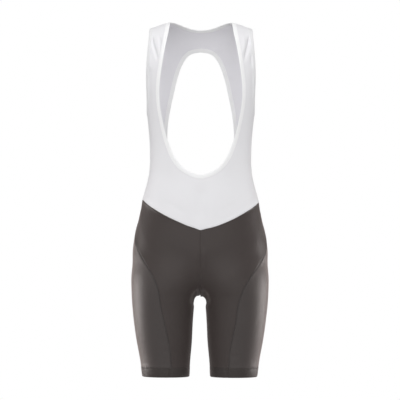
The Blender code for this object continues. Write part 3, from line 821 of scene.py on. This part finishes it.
def stitch_mesh(starts, ends, up):
    """Threads from start to end, each a small capsule that dips into the cloth at both ends."""
    along = ends - starts
    length = np.linalg.norm(along, axis=1, keepdims=True)
    along = along / length
    side = unit(np.cross(along, up))
    up = np.cross(side, along)
    middle = (starts + ends) / 2
    turns = np.arange(STITCH_SIDES) * 2 * np.pi / STITCH_SIDES
    parts = []
    for place, width, lift in STITCH_RINGS:
        centre = middle + along * length * place + up * lift * THREAD
        if width == 0:
            parts.append(centre[:, None])
        else:
            ring = side[:, None] * np.cos(turns)[:, None] + up[:, None] * np.sin(turns)[:, None]
            parts.append(centre[:, None] + ring * width * THREAD)
    points = np.concatenate(parts, axis=1)
    first, second, last = 1, 1 + STITCH_SIDES, 1 + 2 * STITCH_SIDES
    faces = []
    for i in range(STITCH_SIDES):
        j = (i + 1) % STITCH_SIDES
        faces += [(0, first + j, first + i), (last, second + i, second + j)]
        faces += [(first + i, first + j, second + j), (first + i, second + j, second + i)]
    count = len(starts)
    faces = (np.array(faces)[None] + (np.arange(count) * (last + 1))[:, None, None]).reshape(-1, 3)
    return points.reshape(-1, 3), faces


def running(points, normals, pitch):
    """The starts, ends and normals of a row of stitches along a line."""
    knots = lengths_along(points)
    count = max(2, round(knots[-1] / pitch))
    at = (np.arange(count) + 0.5) * knots[-1] / count
    places = values_at(at, knots, points)
    ahead = values_at(at + pitch / 4, knots, points)
    behind = values_at(at - pitch / 4, knots, points)
    half = unit(ahead - behind) * pitch * STITCH_SHARE / 2
    return places - half, places + half, unit(values_at(at, knots, normals))


def resample(line, shares):
    """A line's points and normals at shares of its length."""
    points, normals = line
    knots = lengths_along(points)
    at = shares * knots[-1]
    return values_at(at, knots, points), unit(values_at(at, knots, normals))


def zigzag(line, other):
    """The same for cover threads to and fro between two lines along a seam."""
    shares = np.linspace(0, 1, max(2, round(lengths_along(line[0])[-1] / COVER_PITCH)))
    one, up = resample(line, shares)
    two, _ = resample(other, shares)
    starts = np.concatenate([one[:-1], two[:-1]])
    ends = np.concatenate([two[:-1], one[1:]])
    return starts, ends, np.concatenate([up[:-1], up[:-1]])


def threads(name, rows, look):
    """One piece of all the stitches in some rows."""
    parts, faces, count = [], [], 0
    for row in rows:
        points, around = stitch_mesh(*row)
        parts.append(points)
        faces.append(around + count)
        count += len(points)
    return mesh_object(name, np.concatenate(parts), np.concatenate(faces), [look])


# ---- finishes


def connect(tree, node, inputs):
    """Sets a node's inputs to values or to the outputs of other nodes."""
    for name, value in inputs.items():
        if isinstance(value, bpy.types.NodeSocket):
            tree.links.new(value, node.inputs[name])
        else:
            node.inputs[name].default_value = value


def add_node(tree, kind, inputs=None, **settings):
    made = tree.nodes.new("ShaderNode" + kind)
    for name, value in settings.items():
        setattr(made, name, value)
    connect(tree, made, inputs or {})
    return made


class Recipe:
    """A procedural material, built up node by node."""

    def __init__(self, name, sockets):
        self.material = bpy.data.materials.new(name)
        self.material.use_nodes = True
        self.tree = self.material.node_tree
        self.shader = self.tree.nodes["Principled BSDF"]
        connect(self.tree, self.shader, sockets)
        self.object = self.node("TexCoord").outputs["Object"]
        cloth = self.node("UVMap", uv_map="cloth").outputs["UV"]
        apart = self.node("SeparateXYZ", {0: cloth})
        self.across, self.along = apart.outputs[0], apart.outputs[1]

    def node(self, kind, inputs=None, **settings):
        return add_node(self.tree, kind, inputs, **settings)

    def math(self, operation, first, second=0.0):
        return self.node("Math", {0: first, 1: second}, operation=operation).outputs[0]

    def scaled(self, value, factor, plus):
        return self.node("Math", {0: value, 1: factor, 2: plus}, operation="MULTIPLY_ADD").outputs[0]

    def sum(self, *terms):
        """The sum of (share, value) terms."""
        total = 0.0
        for share, value in terms:
            total = self.scaled(value, share, total)
        return total

    def wave(self, length, pitch, shift=0.0):
        return self.math("SINE", self.scaled(length, 2 * np.pi / pitch, shift))

    def noise(self, pitch, detail=2.0):
        inputs = {"Vector": self.object, "Scale": 1 / pitch, "Detail": detail}
        return self.node("TexNoise", inputs).outputs["Fac"]

    def color(self, share, low, high):
        # Inputs 6 and 7 of a colour Mix are its colours, and output 2 is what it makes
        inputs = {0: share, 6: (*low, 1), 7: (*high, 1)}
        made = self.node("Mix", inputs, data_type="RGBA")
        connect(self.tree, self.shader, {"Base Color": made.outputs[2]})

    def bump(self, height, depth):
        made = self.node("Bump", {"Height": height, "Distance": depth, "Strength": 1.0})
        connect(self.tree, self.shader, {"Normal": made.outputs["Normal"]})


CHEVRON = 1.3  # radians by which a wale shifts the courses that cross it
WANDER = 1.5  # radians by which an elastic's ribs wander


def shades(color, spread):
    """The darkest and the lightest tone of a colour."""
    return [tuple(part * (1 - spread) for part in color), tuple(part * (1 + spread) for part in color)]


def knitted(name, color, sockets, spread, wale, course, depth):
    """Fine warp knit: upright wales crossed by small chevrons, with slightly uneven tone."""
    made = Recipe(name, sockets)
    ribs = made.wave(made.across, wale)
    chevrons = made.wave(made.along, course, made.math("MULTIPLY", ribs, CHEVRON))
    fibres = made.noise(wale * 1.4)
    made.bump(made.sum((0.5, ribs), (0.3, chevrons), (0.5, fibres)), depth)
    patches = made.noise(60 * MM, 3.0)
    tone = made.sum((0.65, patches), (0.25, made.noise(4 * MM)), (0.08, ribs), (0.05, chevrons))
    made.color(tone, *shades(color, spread))
    return made.material


def ribbed(name, color, sockets, spread, pitch, depth):
    """Elastic: close ribs across the band, a little uneven."""
    made = Recipe(name, sockets)
    ribs = made.wave(made.across, pitch, made.math("MULTIPLY", made.noise(8 * MM), WANDER))
    rows = made.wave(made.along, pitch * 0.8)
    made.bump(made.sum((0.6, ribs), (0.25, rows), (0.4, made.noise(pitch))), depth)
    tone = made.sum((0.6, made.noise(30 * MM, 3.0)), (0.3, made.noise(2 * MM)), (0.12, ribs))
    made.color(tone, *shades(color, spread))
    return made.material


def thread_look(name, color):
    made = Recipe(name, {"Roughness": 0.6, "Sheen Weight": 0.2})
    made.color(made.noise(0.6 * MM), *shades(color, 0.15))
    made.bump(made.noise(0.3 * MM), 0.05 * MM)
    return made.material


WHITE_SHEEN = {"Roughness": 0.85, "Sheen Weight": 0.02, "Sheen Roughness": 0.5}
LYCRA_SHEEN = {
    "Roughness": 0.42,
    "Specular IOR Level": 0.2,
    "Sheen Weight": 0.62,
    "Sheen Roughness": 0.42,
    "Sheen Tint": (1.0, 0.84, 0.80, 1),
}
FRONT_SHEEN = {**LYCRA_SHEEN, "Sheen Weight": 0.24}
BAND_SHEEN = {**LYCRA_SHEEN, "Sheen Weight": 0.4, "Sheen Roughness": 0.33}
INSIDE_SHEEN = {"Roughness": 0.8}
BIB_KNIT = {"spread": 0.02, "wale": 0.95 * MM, "course": 1.2 * MM, "depth": 0.06 * MM}
SHORTS_KNIT = {"spread": 0.08, "wale": 0.6 * MM, "course": 0.7 * MM, "depth": 0.03 * MM}
BIB_RIBS = {"spread": 0.02, "pitch": 1.1 * MM, "depth": 0.07 * MM}
SHORTS_RIBS = {"spread": 0.08, "pitch": 1.2 * MM, "depth": 0.06 * MM}

white_knit = knitted("white_knit", (0.805, 0.80, 0.82), WHITE_SHEEN, **BIB_KNIT)
# The knit's inside faces: the same cloth, painted lighter and bluer than the outside, as painted light and
# a painted cool shade tint inside the garment.
knit_inside_painted_light = knitted("knit_inside_painted_light", (0.82, 0.81, 0.845), WHITE_SHEEN, **BIB_KNIT)
white_elastic = ribbed("white_elastic", (0.915, 0.915, 0.92), WHITE_SHEEN, **BIB_RIBS)
# The armhole bindings: the same white elastic as the other bindings, painted darker as painted shade on the
# armhole edges.
armhole_elastic_painted_shade = ribbed("armhole_elastic_painted_shade", (0.80, 0.80, 0.81), WHITE_SHEEN, **BIB_RIBS)
grey_lycra = knitted("grey_lycra", (0.053, 0.043, 0.0405), FRONT_SHEEN, **SHORTS_KNIT)
# The side and back panels: the same lycra with more sheen, its colour painted lighter as painted light from
# the side lamps on the outer legs.
side_lycra_painted_light = knitted("side_lycra_painted_light", (0.059, 0.0505, 0.0485), LYCRA_SHEEN, **SHORTS_KNIT)
lycra_inside = knitted("lycra_inside", (0.045, 0.041, 0.040), INSIDE_SHEEN, **SHORTS_KNIT)
grey_elastic = ribbed("grey_elastic", (0.045, 0.0375, 0.035), BAND_SHEEN, **SHORTS_RIBS)
white_thread = thread_look("white_thread", (0.82, 0.82, 0.83))
dark_thread = thread_look("dark_thread", (0.044, 0.037, 0.035))

# ---- building

grids = {node: read_grid(node) for node in FIRST_CORNERS}
panels = {node: Panel(node) for node in EDGES}
for panel in panels.values():
    panel.share_normals([other for other in panels.values() if other is not panel])
for panel in panels.values():
    panel.sew()
bands = {node: Band(node) for node in BINDINGS + HEMS}


def dress(made, node):
    """Puts a piece on the root's empty and hides the node that it replaces, if any."""
    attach(made, "root")
    if node:
        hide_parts(node)


def stitch(name, rows, white):
    made = threads(name, rows, white_thread if white else dark_thread)
    dress(made, None)


for node, panel in panels.items():
    if node in BIBS:
        # Inner faces take the knit painted lighter and bluer: painted light and cool shade.
        dress(shell(node + "_cloth", panel, [white_knit, knit_inside_painted_light]), node)
    else:
        # Side and back panels take the lycra painted lighter: painted light.
        lycra = grey_lycra if "front" in node else side_lycra_painted_light
        dress(shell(node + "_cloth", panel, [lycra, lycra_inside]), node)
for node, band in bands.items():
    if node in HEMS:
        dress(band.tube([grey_elastic]), node)
    else:
        # The armhole bindings take the elastic painted darker: painted shade.
        elastic = armhole_elastic_painted_shade if node.startswith("armhole") else white_elastic
        dress(band.tube([elastic]), node)

for node, panel in panels.items():
    seams = [edge for edge in panel.edges if edge not in BOUND]
    lines = [line for edge in seams for line in panel.line_beside(edge, NEEDLE)]
    stitch(node + "_stitches", [running(*line, PANEL_PITCH) for line in lines], node in BIBS)

for side in ("right", "left"):
    front = panels["shorts_front_" + side].line_beside("thigh", NEEDLE)[0]
    back = panels["shorts_back_" + side].line_beside("thigh", NEEDLE)[0]
    stitch(f"thigh_seam_{side}_cover", [zigzag(front, back)], False)

for node, band in bands.items():
    rows = []
    for across, up in BAND_ROWS if node in HEMS else BINDING_ROWS:
        normals = band.out if up > 0 else -band.out
        rows.append(running(ringed(band.at(across, up)), ringed(normals), BAND_PITCH))
    stitch(node + "_stitches", rows, node not in HEMS)

# Each panel's and leg band's cut before it was stretched on the figure: width and length in m, and area in
# m2. SEWN_ON lists the bindings and cover stitches sewn on them. The loop below only gathers these pieces,
# and uses neither them nor the sizes.
CUTS = {
    "front_bib": (0.335, 0.525, 0.0720),
    "back_bib": (0.335, 0.460, 0.0740),
    "shorts_front_right": (0.245, 0.475, 0.0500),
    "shorts_front_left": (0.245, 0.475, 0.0510),
    "shorts_back_right": (0.365, 0.485, 0.1120),
    "shorts_back_left": (0.365, 0.485, 0.1110),
    "leg_hem_right": (0.350, 0.024, 0.0084),
    "leg_hem_left": (0.350, 0.024, 0.0084),
}
SEWN_ON = {
    "front_bib": ["neck_binding", "armhole_binding_right", "armhole_binding_left"],
    "back_bib": ["back_opening_binding"],
    "shorts_front_right": ["thigh_seam_right_cover"],
    "shorts_front_left": ["thigh_seam_left_cover"],
}
shown = {piece.name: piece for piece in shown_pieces()}
for node, (width, length, area) in CUTS.items():
    sewn = [shown[node + "_stitches"]]
    for name in SEWN_ON.get(node, []):
        sewn += [shown[name]] if name in shown else [shown[name + "_elastic"], shown[name + "_stitches"]]

# ---- camera, light and floor

CAMERA_AWAY = 8.0
CAMERA_ACROSS = -0.001
CAMERA_HEIGHT = -0.4367
VIEW_ANGLE = 7.026
CAMERA_ROLL = -0.22

lens = bpy.data.cameras.new("camera")
lens.sensor_fit = "HORIZONTAL"
lens.angle = np.radians(VIEW_ANGLE)
camera = placed("camera", lens)
camera.location = (CAMERA_ACROSS, -CAMERA_AWAY, CAMERA_HEIGHT)
camera.rotation_euler = (np.radians(90), np.radians(CAMERA_ROLL), 0)
bpy.context.scene.camera = camera
bpy.context.scene.view_settings.view_transform = "Standard"

# The room's own light: strongest from the front and a little below, weakest from behind
ROOM_FRONT = 0.70
ROOM_BEHIND = 0.20
ROOM_FACING = (0, -0.95, -0.3)
ROOM_BLEND = 0.6  # how squarely a way must face front or back for the one light or the other
BACKDROP = 1.0
WHITE = (1, 1, 1, 1)

world = bpy.data.worlds.new("studio")
world.use_nodes = True
bpy.context.scene.world = world
tree = world.node_tree
way = add_node(tree, "TexCoord").outputs["Generated"]
facing = add_node(tree, "VectorMath", {0: way, 1: ROOM_FACING}, operation="DOT_PRODUCT").outputs["Value"]
limits = {"From Min": -ROOM_BLEND, "From Max": ROOM_BLEND, "To Min": ROOM_BEHIND, "To Max": ROOM_FRONT}
strength = add_node(tree, "MapRange", {"Value": facing, **limits}, interpolation_type="SMOOTHSTEP")
room = tree.nodes["Background"]
connect(tree, room, {"Color": WHITE, "Strength": strength.outputs["Result"]})
backdrop = add_node(tree, "Background", {"Color": WHITE, "Strength": BACKDROP})
seen = add_node(tree, "LightPath").outputs["Is Camera Ray"]
mix = add_node(tree, "MixShader", {0: seen, 1: room.outputs[0], 2: backdrop.outputs[0]})
connect(tree, tree.nodes["World Output"], {"Surface": mix.outputs[0]})

# Soft boxes: place, width, height, power, degrees that the beam spreads, and the height it is aimed at
LIGHTS = {
    "front": ((-0.4, -3.3, 0.05), 4.0, 3.0, 44, 180, -0.42),
    "top": ((0, -0.45, 2.14), 1.6, 1.6, 24, 180, -0.42),
    "side_right": ((-2.0, 0.85, -0.85), 1.8, 0.3, 3.7, 47, -0.98),
    "side_left": ((2.0, 0.85, -0.85), 1.8, 0.3, 3.7, 47, -0.98),
    "bib_right": ((-2.0, 0.6, -0.3), 0.6, 0.6, 0.5, 42, 0.1),
    "bib_left": ((2.0, 0.6, -0.3), 0.6, 0.6, 0.65, 42, 0.1),
}
WARM = (1.0, 0.95, 0.93)

for name, (place, width, height, power, beam, aim) in LIGHTS.items():
    data = bpy.data.lights.new(name, "AREA")
    data.shape = "RECTANGLE"
    data.size, data.size_y, data.energy = width, height, power
    data.spread = np.radians(beam)
    data.color = WARM if name.startswith("side") else WHITE[:3]
    light = placed(name, data)
    light.location = place
    light.rotation_euler = (Vector((0, 0, aim)) - Vector(place)).to_track_quat("-Z", "Y").to_euler()

FLOOR_RADIUS = 3
FLOOR_PLACE = (0, 0, -1.6)
FLOOR_GREY = (0.6, 0.6, 0.6, 1)

bpy.ops.mesh.primitive_circle_add(vertices=96, radius=FLOOR_RADIUS, fill_type="NGON", location=FLOOR_PLACE)
floor = bpy.context.object
floor.name = "floor"
floor_look = bpy.data.materials.new("floor_grey")
floor_look.use_nodes = True
floor_look.node_tree.nodes["Principled BSDF"].inputs["Base Color"].default_value = FLOOR_GREY
floor.data.materials.append(floor_look)
